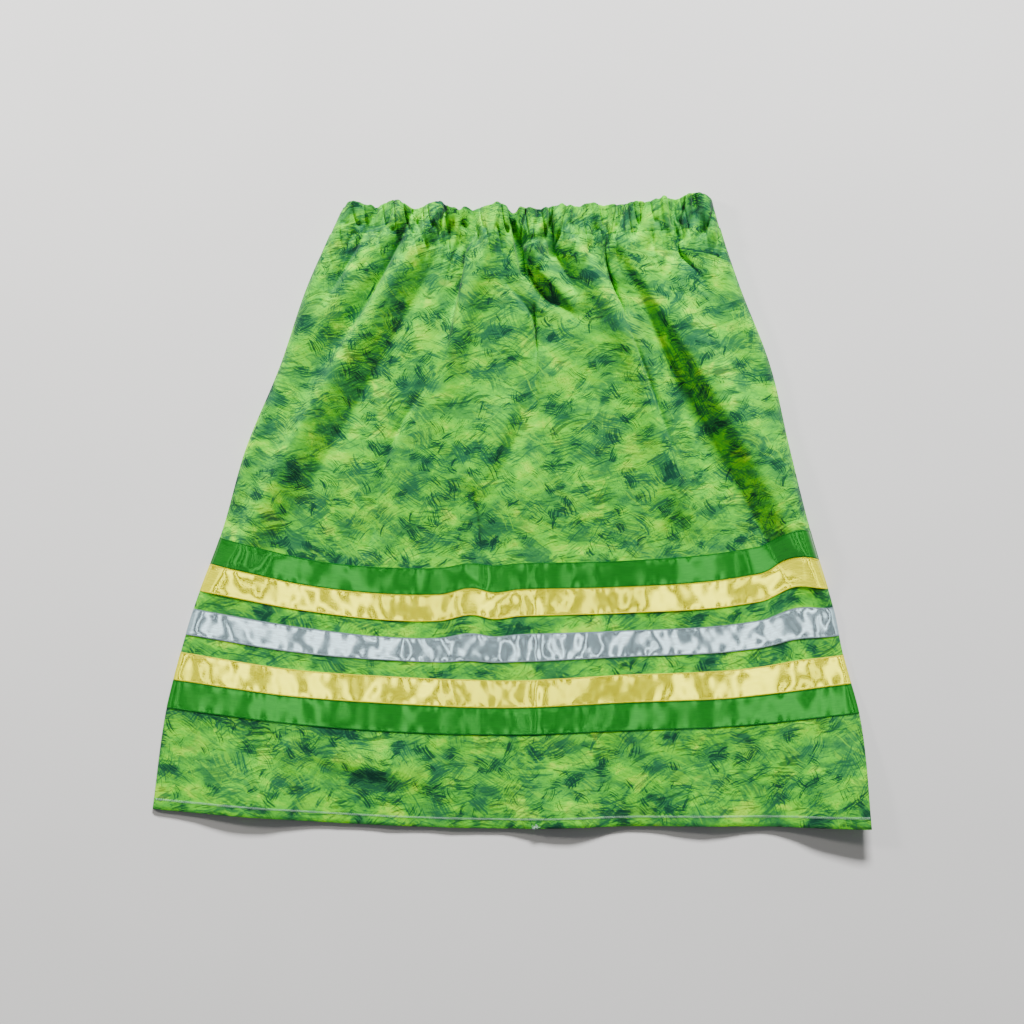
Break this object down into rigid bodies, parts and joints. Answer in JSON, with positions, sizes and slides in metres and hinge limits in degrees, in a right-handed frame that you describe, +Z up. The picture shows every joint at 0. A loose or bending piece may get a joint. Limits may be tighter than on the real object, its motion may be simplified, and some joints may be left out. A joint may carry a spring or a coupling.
{
  "type": "ribbon skirt",
  "caption": "Long gathered cotton skirt laid flat, with an elastic waist casing, a green brush-stroke print and bands of green, yellow and silver satin ribbon above its hem.",
  "frame": {"origin": "on the surface that the skirt lies on, below the middle of its box", "axes": "+X to the right across the front of the skirt as seen from above, +Y from hem to waist, +Z up out of the front"},
  "size_m": [1.007, 0.8934, 0.0372],
  "materials": {
    "printed_cotton": "printed cotton, matt, slightly crinkled",
    "satin_green": "polyester satin ribbon, green",
    "satin_yellow": "polyester satin ribbon, yellow",
    "satin_silver": "polyester satin ribbon, silver grey"
  },
  "bodies": {
    "root": {"front_panel": "printed_cotton", "back_panel": "printed_cotton", "waist_casing_front": "printed_cotton", "waist_casing_back": "printed_cotton", "front_ribbon_1_green": "satin_green", "front_ribbon_2_yellow": "satin_yellow", "front_ribbon_3_silver": "satin_silver", "front_ribbon_4_yellow": "satin_yellow", "front_ribbon_5_green": "satin_green", "back_ribbon_1_green": "satin_green", "back_ribbon_2_yellow": "satin_yellow", "back_ribbon_3_silver": "satin_silver", "back_ribbon_4_yellow": "satin_yellow", "back_ribbon_5_green": "satin_green"}
  },
  "joints": []
}
